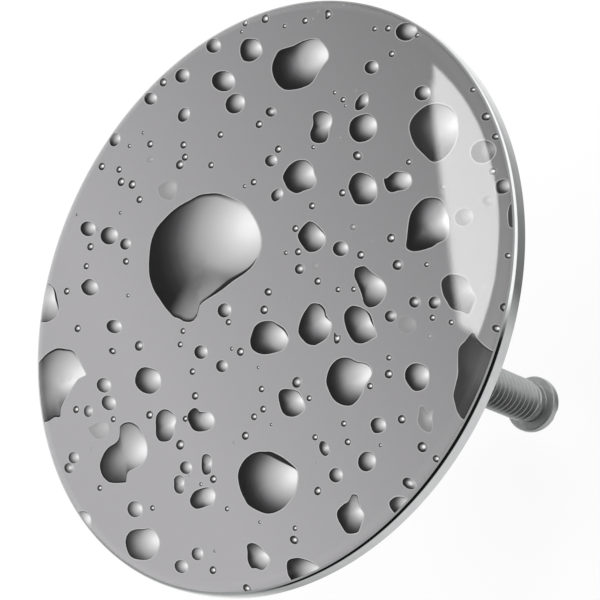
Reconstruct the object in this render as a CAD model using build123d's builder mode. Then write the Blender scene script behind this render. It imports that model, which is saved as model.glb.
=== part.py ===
from build123d import *
import os
from math import cos, radians, tan

# Bath drain stopper for a pop-up waste, in millimetres and at its real size.
# +Z points up out of the drain. The origin is the centre of the ring on which the
# seal's lip stands in the drain. The printed cap is above it, the screw below.

# Cap: a chromed disc with a shallow recess that holds the print and its clear lens
cap_diameter = 72.0
cap_thickness = 2.0
cap_upper_edge_radius = 0.4
cap_lower_edge_radius = 0.2
rim_width = 0.5
recess_depth = 0.4
film_thickness = 0.15
lens_height = 0.8
lens_shoulder_height = 0.7
lens_edge_height = 0.3
lens_falling_width = 1.5

# Countersunk screw that holds the hub to the cap
cap_screw_diameter = 4.0
cap_screw_length = 6.0
cap_screw_slot_width = 1.0
cap_screw_slot_depth = 0.8
cap_screw_tip_chamfer = 0.4

# Hub: a turned boss with a flange, two spanner flats and an outside thread
hub_thread_diameter = 12.0
hub_thread_length = 14.0
hub_collar_wall = 3.0
hub_collar_height = 6.0
hub_flange_overhang = 1.0
hub_flange_thickness = 1.6
hub_flats_depth = 1.0
hub_relief_depth = 0.6
hub_relief_width = 1.2
hub_edge_chamfer = 0.4
hub_thread_chamfer = 0.8

# Seal: a rubber ring with a flat web and a lip that flares down to the drain's seat
seal_lip_diameter = 50.0
seal_web_thickness = 2.5
seal_drop = 2.5
seal_shoulder_diameter = 30.0
seal_lip_edge_height = 1.6
seal_foot_width = 1.8
seal_inner_rise = 1.0
seal_inner_step = 0.6
seal_shoulder_radius = 6.0
seal_hollow_radius = 3.0
seal_inner_radius = 0.8
seal_lip_top_radius = 0.5
seal_foot_radius = 0.3

# Carrier: a pressed dish that backs the rubber
carrier_diameter = 30.4
carrier_thickness = 1.0
carrier_rim_drop = 1.4
carrier_rim_spread = 1.7
carrier_bend_radius = 1.2

# Thin hexagon nut that clamps seal and carrier against the hub's flange
seal_nut_wall = 2.5
seal_nut_height = 4.0

# Adjusting screw with a smooth neck and a small rounded head
screw_diameter = 5.8
screw_below_hub = 36.5
screw_top_room = 2.1
screw_top_chamfer = 0.7
neck_diameter = 5.3
neck_length = 1.2
head_diameter = 7.7
head_height = 2.2
head_upper_radius = 0.3
head_lower_radius = 1.4
head_slot_width = 1.0
head_slot_depth = 1.0

# Washer and nut that lock the screw's length
washer_bore_clearance = 0.3
washer_ring_width = 2.8
washer_thickness = 1.6
washer_chamfer = 0.3
lock_nut_wall = 2.1
lock_nut_height = 5.0

# Fits that the pieces share
seating_clearance = 0.05
thread_clearance = 0.06
nut_face_share = 0.95
nut_mouth_chamfer = 0.4
nut_chamfer_angle = 30.0
cut_overrun = 1.0

# Heights, from the seal's seat upwards and downwards
web_underside = seal_drop
flange_underside = web_underside + seal_web_thickness
cap_underside = flange_underside + hub_collar_height
cap_top = cap_underside + cap_thickness
recess_floor = cap_top - recess_depth
film_top = recess_floor + film_thickness
cap_screw_tip = recess_floor - cap_screw_length
carrier_underside = web_underside - carrier_thickness
hub_underside = flange_underside - hub_thread_length
washer_underside = hub_underside - washer_thickness
head_topside = hub_underside - screw_below_hub
head_underside = head_topside - head_height
neck_topside = head_topside + neck_length
screw_topside = cap_screw_tip - screw_top_room

# Radii
cap_radius = cap_diameter / 2
recess_radius = cap_radius - rim_width
film_radius = recess_radius - seating_clearance
lens_shoulder_radius = film_radius - lens_falling_width
cap_screw_radius = cap_screw_diameter / 2
cap_screw_hole_radius = cap_screw_radius + thread_clearance
countersink_radius = cap_screw_hole_radius + recess_floor - cap_underside
cap_screw_head_radius = countersink_radius - seating_clearance
cap_screw_head_height = cap_screw_head_radius - cap_screw_radius
hub_thread_radius = hub_thread_diameter / 2
hub_mate_radius = hub_thread_radius + thread_clearance
hub_collar_radius = hub_thread_radius + hub_collar_wall
hub_flange_radius = hub_collar_radius + hub_flange_overhang
hub_flats_radius = hub_collar_radius - hub_flats_depth
seal_nut_flat_radius = hub_thread_radius + seal_nut_wall
seal_lip_radius = seal_lip_diameter / 2
seal_shoulder_start = seal_shoulder_diameter / 2
carrier_radius = carrier_diameter / 2
screw_radius = screw_diameter / 2
screw_mate_radius = screw_radius + thread_clearance
neck_radius = neck_diameter / 2
head_radius = head_diameter / 2
washer_bore_radius = screw_radius + washer_bore_clearance
washer_radius = washer_bore_radius + washer_ring_width
lock_nut_flat_radius = screw_radius + lock_nut_wall


def nearest(vertices, point):
    """The outline's vertex at a named place, to round it."""
    return vertices.sort_by_distance(point)[0]


def hexagon_nut(topside, height, flat_radius, bore_radius):
    """A nut whose corners are turned off on both faces and whose bore has chamfered mouths."""
    corner_radius = flat_radius / cos(radians(nut_chamfer_angle))
    face_radius = flat_radius * nut_face_share
    corner_drop = (corner_radius - face_radius) * tan(radians(nut_chamfer_angle))
    underside = topside - height
    with BuildPart() as nut:
        with BuildSketch(Plane.XY.offset(topside)):
            RegularPolygon(radius=flat_radius, side_count=6, major_radius=False)
            Circle(bore_radius, mode=Mode.SUBTRACT)
        extrude(amount=-height)
        with BuildSketch(Plane.XZ):
            with BuildLine():
                Polyline(
                    (0, topside),
                    (face_radius, topside),
                    (corner_radius, topside - corner_drop),
                    (corner_radius, underside + corner_drop),
                    (face_radius, underside),
                    (0, underside),
                    close=True,
                )
            make_face()
        revolve(axis=Axis.Z, mode=Mode.INTERSECT)
        bore_mouths = nut.edges().filter_by(GeomType.CIRCLE).filter_by(
            lambda edge: edge.radius < bore_radius + thread_clearance
        )
        chamfer(bore_mouths, nut_mouth_chamfer)
    return nut


# Cap plate
with BuildPart() as cap_plate:
    with BuildSketch(Plane.XY.offset(cap_underside)):
        Circle(cap_radius)
    extrude(amount=cap_thickness)
    fillet(cap_plate.edges().group_by(Axis.Z)[-1], cap_upper_edge_radius)
    fillet(cap_plate.edges().group_by(Axis.Z)[0], cap_lower_edge_radius)
    with BuildSketch(Plane.XY.offset(recess_floor)):
        Circle(recess_radius)
    extrude(amount=recess_depth + cut_overrun, mode=Mode.SUBTRACT)
    with BuildSketch(Plane.XZ):
        with BuildLine():
            Polyline(
                (0, recess_floor),
                (countersink_radius, recess_floor),
                (cap_screw_hole_radius, cap_underside),
                (0, cap_underside),
                close=True,
            )
        make_face()
    revolve(axis=Axis.Z, mode=Mode.SUBTRACT)

# Printed film, flat on the recess's floor
with BuildPart() as print_film:
    with BuildSketch(Plane.XY.offset(recess_floor)):
        Circle(film_radius)
    extrude(amount=film_thickness)

# Clear lens: nearly flat over the print, falling at its rim
with BuildPart() as clear_dome:
    with BuildSketch(Plane.XZ):
        with BuildLine():
            crown = TangentArc(
                (0, film_top + lens_height),
                (lens_shoulder_radius, film_top + lens_shoulder_height),
                tangent=(1, 0),
            )
            shoulder = TangentArc(
                crown @ 1, (film_radius, film_top + lens_edge_height), tangent=crown % 1
            )
            Polyline(shoulder @ 1, (film_radius, film_top), (0, film_top), crown @ 0)
        make_face()
    revolve(axis=Axis.Z)

# Countersunk cap screw with a straight slot
with BuildPart() as cap_screw:
    with BuildSketch(Plane.XZ):
        with BuildLine():
            Polyline(
                (0, recess_floor),
                (cap_screw_head_radius, recess_floor),
                (cap_screw_radius, recess_floor - cap_screw_head_height),
                (cap_screw_radius, cap_screw_tip + cap_screw_tip_chamfer),
                (cap_screw_radius - cap_screw_tip_chamfer, cap_screw_tip),
                (0, cap_screw_tip),
                close=True,
            )
        make_face()
    revolve(axis=Axis.Z)
    with BuildSketch(Plane.XY.offset(recess_floor)):
        Rectangle(cap_screw_head_radius * 2 + cut_overrun, cap_screw_slot_width)
    extrude(amount=-cap_screw_slot_depth, mode=Mode.SUBTRACT)

# Hub
with BuildPart() as hub:
    with BuildSketch(Plane.XY.offset(cap_underside)):
        Circle(hub_collar_radius)
        Rectangle(hub_collar_radius * 2, hub_flats_radius * 2, mode=Mode.INTERSECT)
    extrude(amount=-hub_collar_height)
    with BuildSketch(Plane.XY.offset(flange_underside)):
        Circle(hub_flange_radius)
    extrude(amount=hub_flange_thickness)
    flange_rim = hub.edges().filter_by(GeomType.CIRCLE).filter_by(
        lambda edge: edge.radius > hub_collar_radius
    )
    chamfer(flange_rim, hub_edge_chamfer)
    with BuildSketch(Plane.XY.offset(flange_underside)):
        Circle(hub_thread_radius)
    extrude(amount=-hub_thread_length)
    chamfer(hub.edges().group_by(Axis.Z)[0], hub_thread_chamfer)
    relief_radius = hub_thread_radius - hub_relief_depth
    with BuildSketch(Plane.XY.offset(flange_underside)):
        Circle(hub_thread_radius + cut_overrun)
        Circle(relief_radius, mode=Mode.SUBTRACT)
    extrude(amount=-hub_relief_width, mode=Mode.SUBTRACT)
    with BuildSketch(Plane.XZ):
        with BuildLine():
            Polyline(
                (0, hub_underside),
                (screw_mate_radius + nut_mouth_chamfer, hub_underside),
                (screw_mate_radius, hub_underside + nut_mouth_chamfer),
                (screw_mate_radius, screw_topside + seating_clearance),
                (cap_screw_hole_radius, screw_topside + screw_top_chamfer),
                (cap_screw_hole_radius, cap_underside),
                (0, cap_underside),
                close=True,
            )
        make_face()
    revolve(axis=Axis.Z, mode=Mode.SUBTRACT)

# Rubber seal, an umbrella-shaped ring that stands on the flat foot of its lip
with BuildPart() as drain_seal:
    lip_top = (seal_lip_radius, seal_lip_edge_height)
    foot_outside = (seal_lip_radius, 0)
    foot_inside = (seal_lip_radius - seal_foot_width, 0)
    inner_edge = (seal_lip_radius - seal_foot_width - seal_inner_step, seal_inner_rise)
    shoulder_top = (seal_shoulder_start, flange_underside)
    hollow_top = (seal_shoulder_start + seal_inner_step, web_underside)
    with BuildSketch(Plane.XZ) as seal_outline:
        with BuildLine():
            Polyline(
                (hub_mate_radius, web_underside),
                (hub_mate_radius, flange_underside),
                shoulder_top,
                lip_top,
                foot_outside,
                foot_inside,
                inner_edge,
                hollow_top,
                close=True,
            )
        make_face()
        rounded_corners = [
            (shoulder_top, seal_shoulder_radius),
            (lip_top, seal_lip_top_radius),
            (foot_outside, seal_foot_radius),
            (foot_inside, seal_foot_radius),
            (inner_edge, seal_inner_radius),
            (hollow_top, seal_hollow_radius),
        ]
        for (across, height), corner_radius in rounded_corners:
            fillet(nearest(seal_outline.vertices(), (across, height, 0)), corner_radius)
    revolve(axis=Axis.Z)

# Pressed carrier: a washer whose rim is bent down, away from the rubber
with BuildPart() as seal_carrier:
    sheet_middle = web_underside - carrier_thickness / 2
    with BuildSketch(Plane.XZ):
        with BuildLine():
            FilletPolyline(
                (hub_mate_radius, sheet_middle),
                (carrier_radius - carrier_rim_spread, sheet_middle),
                (carrier_radius, sheet_middle - carrier_rim_drop),
                radius=carrier_bend_radius,
            )
        trace(line_width=carrier_thickness)
    revolve(axis=Axis.Z)

# Nuts
seal_nut = hexagon_nut(
    carrier_underside, seal_nut_height, seal_nut_flat_radius, hub_mate_radius
)
lock_nut = hexagon_nut(
    washer_underside, lock_nut_height, lock_nut_flat_radius, screw_mate_radius
)

# Plain washer between the hub and the lock nut
with BuildPart() as lock_washer:
    with BuildSketch(Plane.XY.offset(hub_underside)):
        Circle(washer_radius)
        Circle(washer_bore_radius, mode=Mode.SUBTRACT)
    extrude(amount=-washer_thickness)
    washer_lower_rim = lock_washer.edges().group_by(Axis.Z)[0].sort_by(SortBy.RADIUS)[-1]
    chamfer(washer_lower_rim, washer_chamfer)

# Adjusting screw, with a slot in the end of its head for a screwdriver
with BuildPart() as adjusting_screw:
    head_upper_rim = (head_radius, head_topside)
    head_lower_rim = (head_radius, head_underside)
    with BuildSketch(Plane.XZ) as screw_outline:
        with BuildLine():
            Polyline(
                (0, screw_topside),
                (screw_radius - screw_top_chamfer, screw_topside),
                (screw_radius, screw_topside - screw_top_chamfer),
                (screw_radius, neck_topside),
                (neck_radius, neck_topside - screw_radius + neck_radius),
                (neck_radius, head_topside),
                head_upper_rim,
                head_lower_rim,
                (0, head_underside),
                close=True,
            )
        make_face()
        for (across, height), rim_radius in [
            (head_upper_rim, head_upper_radius),
            (head_lower_rim, head_lower_radius),
        ]:
            fillet(nearest(screw_outline.vertices(), (across, height, 0)), rim_radius)
    revolve(axis=Axis.Z)
    with BuildSketch(Plane.XY.offset(head_underside)):
        Rectangle(head_diameter + cut_overrun, head_slot_width)
    extrude(amount=head_slot_depth, mode=Mode.SUBTRACT)

pieces = {
    "cap_plate": cap_plate,
    "print_film": print_film,
    "clear_dome": clear_dome,
    "cap_screw": cap_screw,
    "hub": hub,
    "drain_seal": drain_seal,
    "seal_carrier": seal_carrier,
    "seal_nut": seal_nut,
    "lock_washer": lock_washer,
    "lock_nut": lock_nut,
    "adjusting_screw": adjusting_screw,
}
os.makedirs("parts", exist_ok=True)
for name, piece in pieces.items():
    piece.part.label = name
    export_step(piece.part, f"parts/{name}.step")
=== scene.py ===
import bmesh
import bpy
import math
from mathutils import Matrix, Vector
from mathutils.geometry import delaunay_2d_cdt


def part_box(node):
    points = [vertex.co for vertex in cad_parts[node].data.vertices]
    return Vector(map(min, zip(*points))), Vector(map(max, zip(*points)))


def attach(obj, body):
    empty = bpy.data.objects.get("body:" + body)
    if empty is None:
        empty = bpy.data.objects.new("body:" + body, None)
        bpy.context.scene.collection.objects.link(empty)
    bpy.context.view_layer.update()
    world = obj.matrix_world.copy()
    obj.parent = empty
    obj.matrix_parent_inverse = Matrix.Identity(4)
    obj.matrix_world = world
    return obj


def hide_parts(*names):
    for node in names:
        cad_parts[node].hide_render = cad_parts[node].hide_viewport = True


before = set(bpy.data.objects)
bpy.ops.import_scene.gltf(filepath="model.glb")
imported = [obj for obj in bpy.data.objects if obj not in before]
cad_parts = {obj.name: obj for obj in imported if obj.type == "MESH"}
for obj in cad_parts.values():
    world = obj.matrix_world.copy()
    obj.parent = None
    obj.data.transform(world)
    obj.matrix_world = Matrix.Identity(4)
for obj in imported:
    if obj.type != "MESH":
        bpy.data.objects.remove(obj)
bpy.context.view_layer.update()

# Cap plate. A brass disc with a shallow recess for the print, turned on a lathe and
# chrome plated. A countersunk screw in its middle holds it to the hub.

MM = 0.001


class Wire:
    """An output of a node, or its tree alone. Sums, products and powers of wires add Math nodes."""

    def __init__(self, tree, socket=None):
        self.tree, self.socket = tree, socket

    def node(self, kind, settings=None, inputs=None, output=0):
        """Adds a node, sets it up, fills its sockets with values or wires, and gives one output."""
        made = self.tree.nodes.new(kind)
        for name, value in (settings or {}).items():
            if name == "stops":
                stops = made.color_ramp.elements
                while len(stops) < len(value):
                    stops.new(1.0)
                for stop, (position, color) in zip(stops, value):
                    stop.position, stop.color = position, (*color, 1.0)
            else:
                setattr(made, name, value)
        for name, value in (inputs or {}).items():
            if isinstance(value, Wire):
                self.tree.links.new(value.socket, made.inputs[name])
            else:
                made.inputs[name].default_value = value
        return Wire(self.tree, made.outputs[output]) if len(made.outputs) else made

    def other(self, output):
        """Another output of the same node."""
        return Wire(self.tree, self.socket.node.outputs[output])

    def math(self, operation, *others):
        """A Math node on this value and up to two others."""
        values = dict(enumerate((self, *others)))
        return self.node("ShaderNodeMath", {"operation": operation}, values)

    def __add__(self, other):
        return self.math("ADD", other)

    def __sub__(self, other):
        return self.math("SUBTRACT", other)

    def __rsub__(self, other):
        return self.node("ShaderNodeMath", {"operation": "SUBTRACT"}, {0: other, 1: self})

    def __mul__(self, other):
        return self.math("MULTIPLY", other)

    def __truediv__(self, other):
        return self.math("DIVIDE", other)

    def __pow__(self, other):
        return self.math("POWER", other)

    __radd__, __rmul__ = __add__, __mul__

    def ramp(self, low, high, start=0.0, end=1.0):
        """start up to low, end from high on, and a smooth step in between."""
        settings = {"interpolation_type": "SMOOTHSTEP"}
        return self.node("ShaderNodeMapRange", settings, {0: self, 1: low, 2: high, 3: start, 4: end})


def mixed(factor, first, second):
    """One colour that turns into another with the factor."""
    return factor.node("ShaderNodeMix", {"data_type": "RGBA"}, {0: factor, 6: first, 7: second}, 2)


def shade(value, tint=(1.0, 1.0, 1.0)):
    """A grey, with a tint if one is given, as a colour socket takes it."""
    return (value * tint[0], value * tint[1], value * tint[2], 1.0)


def new_material(name):
    """An empty material and its object coordinates in millimetres, a wire in its node tree."""
    material = bpy.data.materials.new(name)
    material.use_nodes = True
    material.node_tree.nodes.clear()
    place = Wire(material.node_tree).node("ShaderNodeTexCoord", output=3)
    place = place.node("ShaderNodeVectorMath", {"operation": "SCALE"}, {0: place, "Scale": 1 / MM})
    return material, place


def finish_material(material, inputs, shader="ShaderNodeBsdfPrincipled"):
    """The shader at the end of a material."""
    surface = Wire(material.node_tree).node(shader, None, inputs)
    surface.node("ShaderNodeOutputMaterial", None, {"Surface": surface})


def finish_metal(material, color, roughness, normal):
    """The shader at the end of a metal."""
    inputs = {"Base Color": color, "Metallic": 1.0, "Roughness": roughness, "Normal": normal}
    finish_material(material, inputs)


def grain(place, scale, detail=2.0, stretch=(1.0, 1.0, 1.0)):
    """Noise from 0 to 1, stretched along an axis if asked; scale is in lumps per millimetre."""
    stretched = place.node("ShaderNodeVectorMath", {"operation": "MULTIPLY"}, {0: place, 1: stretch})
    return place.node("ShaderNodeTexNoise", None, {"Vector": stretched, "Scale": scale, "Detail": detail})


def bumped(relief, depth):
    """The normal of a surface with this relief; depth is in millimetres."""
    return relief.node("ShaderNodeBump", None, {"Height": relief, "Distance": depth * MM, "Strength": 1.0})


def rounded(corners, steps=6):
    """The outline through (radius, height, rounding) corners, with each rounding as an arc."""
    outline = []
    count = len(corners)
    for at, (across, height, rounding) in enumerate(corners):
        corner = Vector((across, height))
        if not rounding:
            outline.append(corner)
            continue
        before = (Vector(corners[at - 1][:2]) - corner).normalized()
        after = (Vector(corners[(at + 1) % count][:2]) - corner).normalized()
        half = before.angle(after) / 2
        centre = corner + (before + after).normalized() * rounding / math.sin(half)
        start = corner + before * rounding / math.tan(half) - centre
        end = corner + after * rounding / math.tan(half) - centre
        turn = start.angle_signed(end)
        for step in range(steps + 1):
            outline.append(centre + Matrix.Rotation(-turn * step / steps, 2) @ start)
    return outline


def smoothed(mesh, sharp_angle=35.0):
    """Smooth shading with crisp edges where the surface turns by more than the angle."""
    mesh.polygons.foreach_set("use_smooth", [True] * len(mesh.polygons))
    mesh.set_sharp_from_angle(angle=math.radians(sharp_angle))


def new_piece(name, mesh, material):
    """Puts a mesh into the scene as a piece with its finish."""
    mesh.materials.clear()
    mesh.materials.append(material)
    piece = bpy.data.objects.new(name, mesh)
    bpy.context.collection.objects.link(piece)
    return piece


def turned(name, outline, material, segments=256, shape=None):
    """A piece turned on a lathe from a closed outline of (radius, height) in millimetres."""
    form = bmesh.new()
    rings = []
    for across, height in outline:
        if across < 1e-6:
            rings.append([form.verts.new((0, 0, height * MM))])
            continue
        ring = []
        for step in range(segments):
            angle = math.tau * step / segments
            point = Vector((across * math.cos(angle), across * math.sin(angle), height))
            ring.append(form.verts.new((shape(point) if shape else point) * MM))
        rings.append(ring)
    for first, second in zip(rings, rings[1:] + rings[:1]):
        if len(first) == len(second) == 1:
            continue
        for step in range(segments):
            ahead = (step + 1) % segments
            corners = [
                first[step % len(first)],
                first[ahead % len(first)],
                second[ahead % len(second)],
                second[step % len(second)],
            ]
            form.faces.new(dict.fromkeys(corners))
    bmesh.ops.recalc_face_normals(form, faces=form.faces)
    mesh = bpy.data.meshes.new(name)
    form.to_mesh(mesh)
    form.free()
    smoothed(mesh)
    return new_piece(name, mesh, material)


plate_low, plate_high = (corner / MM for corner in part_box("cap_plate"))
film_low, film_high = (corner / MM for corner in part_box("print_film"))
cap_radius = plate_high.x
ring_width, ring_fall = 0.2, 0.03       # the flat between recess and rim, and its slope
rim_width, rim_drop = 0.2, 0.92         # the quarter ellipse that rounds the rim
rim_arc_steps = 24
lower_edge_rounding = 0.2
recess_radius = cap_radius - rim_width - ring_width
screw_hole_radius = 2.06
countersink_radius = screw_hole_radius + film_low.z - plate_low.z

chrome, place = new_material("cap_chrome_plate")
peel = grain(place, 0.9, 3.0)
haze = grain(place, 6.0, 4.0)
finish_metal(
    chrome,
    mixed(peel.ramp(0.3, 0.7), shade(0.84, (0.98, 1.0, 1.01)), shade(0.88, (0.99, 1.0, 1.0))),
    haze.ramp(0.3, 0.8, 0.05, 0.11),
    bumped(peel, 0.003),
)
rim_corners = []
for step in range(rim_arc_steps + 1):
    angle = math.radians(90 * step / rim_arc_steps)
    out, up = rim_width * (math.cos(angle) - 1), rim_drop * (math.sin(angle) - 1)
    rim_corners.append((cap_radius + out, plate_high.z - ring_fall + up, 0))
plate = turned(
    "cap_plate_turned",
    rounded(
        [
            (screw_hole_radius, plate_low.z, 0),
            (cap_radius, plate_low.z, lower_edge_rounding),
            *rim_corners,
            (recess_radius, plate_high.z, 0),
            (recess_radius, film_low.z, 0),
            (countersink_radius, film_low.z, 0),
        ]
    ),
    chrome,
    segments=384,
)
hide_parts("cap_plate")
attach(plate, "stopper")

# Print. A printed film on the recess's floor with grey water drops, large and small.
# The drops are drawn a third longer along X, so that they look round from the side.

drop_stretch = 1.35
print_shrink = 0.9965                   # the lens magnifies, so drops lie nearer the middle
print_shift = Vector((0.145, -0.039))   # than they are seen, and a little to one side
film_radius = recess_radius - 0.07
drawn_edge_steps = 120
round_edge_steps, fewest_edge_steps = 30, 18        # for each millimetre of size, and at least


class Drop:
    """A drop of the print: a centre and how far its edge is from it all round.

    The shadow is the dark wedge along its upper edge: its direction and its share of the drop.
    """

    def __init__(
        self, x, y, across, along, tilt=0.0, outline=(), clarity=1.0, shine=1.0, shadow=(95, 0.05)
    ):
        self.drawn_at, self.clarity, self.shine = Vector((x, y)), clarity, shine
        self.centre = self.drawn_at * print_shrink + print_shift
        self.size = math.sqrt(across / drop_stretch * along)
        shadow_side = math.radians(shadow[0])
        self.shadow = (math.cos(shadow_side), math.sin(shadow_side), shadow[1])
        self.shaped = bool(outline)
        self.count = max(fewest_edge_steps, int(self.size * round_edge_steps))
        if outline:
            self.count = drawn_edge_steps
        angles = [math.tau * step / self.count for step in range(self.count)]
        if outline:
            self.reach = self.reach_of(spline_through(outline), angles)
            return
        across /= drop_stretch
        self.reach = []
        for angle in angles:
            leaning = angle - math.radians(tilt)
            width = math.hypot(along * math.cos(leaning), across * math.sin(leaning))
            self.reach.append(across * along / width)

    def seen(self, point, centre=None):
        """A point of the film as an offset from the centre, with the print's stretch taken out."""
        offset = Vector(point) - (centre or self.centre)
        return Vector((offset.x / drop_stretch, offset.y))

    def reach_of(self, outline, angles):
        """The edge's distance at each angle, from an outline given as points."""
        polar = sorted(
            (math.atan2(seen.y, seen.x) % math.tau, seen.length)
            for seen in (self.seen(point, self.drawn_at) for point in outline)
        )
        first, last = polar[0], polar[-1]
        polar = [(last[0] - math.tau, last[1]), *polar, (first[0] + math.tau, first[1])]
        reaches, at = [], 0
        for angle in angles:
            while polar[at + 1][0] < angle:
                at += 1
            (a, low), (b, high) = polar[at], polar[at + 1]
            reaches.append(low + (high - low) * (angle - a) / max(b - a, 1e-9))
        return reaches

    def edge(self, share, margin=0.0):
        """The points of a ring at this share of the way out, and a margin in millimetres."""
        ring = []
        for step, reach in enumerate(self.reach):
            angle = math.tau * step / self.count
            out = reach * share + margin
            offset = Vector((math.cos(angle) * drop_stretch, math.sin(angle))) * out
            ring.append(self.centre + offset)
        return ring

    def local(self, point):
        """Where a point lies in the drop: its direction, 1 long at the edge."""
        seen = self.seen(point)
        step = math.atan2(seen.y, seen.x) % math.tau / math.tau * self.count
        low = int(step) % self.count
        reach, ahead = self.reach[low], self.reach[(low + 1) % self.count]
        return seen / (reach + (ahead - reach) * (step - int(step)))


def spline_through(points, steps=8):
    """A smooth closed line through points."""
    line, count = [], len(points)
    for at in range(count):
        a, b, c, d = (Vector(points[(at + step) % count]) for step in (-1, 0, 1, 2))
        for step in range(steps):
            t = step / steps
            bend = (a * 2 - b * 5 + c * 4 - d) * t**2 + (b * 3 - a - c * 3 + d) * t**3
            line.append((b * 2 + (c - a) * t + bend) / 2)
    return line


def drawn(*outline, **looks):
    """A drop with its own outline; the middle of the outline's box is its centre."""
    (left, right), (low, high) = ((min(line), max(line)) for line in zip(*outline))
    middle, size = ((left + right) / 2, (low + high) / 2), ((right - left) / 2, (high - low) / 2)
    return Drop(*middle, *size, outline=outline, **looks)


great_drops = [
    drawn(
        (-19.8, 1.2), (-19.7, 2.3), (-19.2, 3.4), (-18.5, 4.6), (-17.5, 5.8), (-16.2, 6.9), (-15, 7.9),
        (-13.5, 8.5), (-12, 8.9), (-9.5, 8.95), (-7.5, 8.75), (-6, 8.2), (-4.5, 7.4), (-3.2, 6.4),
        (-2.4, 5.4), (-2, 4.4), (-2, 3.2), (-2.3, 2.1), (-3.1, 1), (-4.2, -0.2), (-5.2, -1.5), (-6.1, -2.5),
        (-7, -3.4), (-7.6, -4.2), (-7.7, -5), (-7.4, -5.9), (-8, -6.6), (-9.2, -6.9), (-10, -6.8),
        (-11, -6.9), (-12, -6.6), (-13.2, -6.2), (-14.5, -5.6), (-16, -4.9), (-17.5, -3.7), (-18.4, -2.5),
        (-19, -1.4), (-19.6, 0), shadow=(-22, 0.1),
    ),
    drawn(
        (-12.3, 26.6), (-12, 27.7), (-10.2, 28.7), (-8.8, 29.7), (-7.2, 30.3), (-5.8, 30), (-4.5, 29.3),
        (-4, 28.5), (-4.3, 27.6), (-4.6, 26.7), (-4.9, 25.2), (-5.8, 24.4), (-7, 23.8), (-8.5, 23.4),
        (-10, 23.7), (-11.3, 24.5), (-12.1, 25.5), shadow=(122, 0.08),
    ),
    drawn(
        (-10.5, -20.6), (-9.3, -20.7), (-8.2, -21.3), (-7, -22), (-6.3, -22.9), (-6.1, -23.6),
        (-6.4, -24.6), (-7.3, -25.4), (-7.9, -26), (-7.9, -26.6), (-7.4, -27.1), (-8.3, -27.6),
        (-10, -28.2), (-11.2, -28.1), (-12.1, -27.7), (-12.8, -27), (-13, -26.2), (-12.9, -25.2),
        (-12.5, -24.4), (-11.9, -23.8), (-11.6, -23.1), (-11.8, -22.4), (-12.2, -21.8), (-11.9, -21.2),
        (-11.3, -20.8), shadow=(140, 0.03),
    ),
    drawn(
        (-29.8, -18.6), (-29.2, -17.6), (-28, -16.6), (-26.5, -16.2), (-25.2, -16), (-24, -16.4),
        (-22.7, -17.1), (-21.2, -18), (-22.1, -18.6), (-22.5, -19.5), (-22.9, -21.2), (-23.1, -23),
        (-22.6, -24), (-23.5, -24.4), (-24.7, -25.4), (-27, -25), (-29.5, -22.5), (-30.4, -20.4),
        shadow=(118, 0.06),
    ),
    drawn(
        (31.9, 4.9), (31.4, 3.7), (31, 2.7), (31.5, 1.5), (32.2, 0.2), (32.5, -1), (32.8, -2.2), (33.5, -3),
        (34.2, -3.7), (35, -4.1), (36.3, -3.5), (37, -1), (37, 2), (36, 3.8), (34.9, 3.8), (34, 4),
        (32.8, 4.4), shine=0.12,
    ),
    drawn(
        (-34.5, -9.6), (-33.5, -9.7), (-32.5, -10.1), (-31.5, -11), (-30.6, -12), (-30.5, -13),
        (-31.3, -13.9), (-32.4, -14.4), (-34, -14.6), (-36, -14.5), (-37.5, -13), (-37.5, -11), (-36, -9.8),
        shadow=(38, 0.13),
    ),
    drawn(
        (8.4, -19.5), (8.6, -18.5), (9.2, -17.6), (10, -17), (11, -16.6), (12, -16.3), (13.8, -16.3),
        (15.7, -16.6), (16.5, -16.9), (17.1, -17.7), (17.5, -19.2), (17.2, -20.5), (16.6, -21.6),
        (15.5, -22.5), (14.2, -22.9), (12, -22.9), (11, -22.5), (10, -21.9), (9.2, -21.2), (8.6, -20.4),
        shadow=(88, 0.17),
    ),
]
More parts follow.
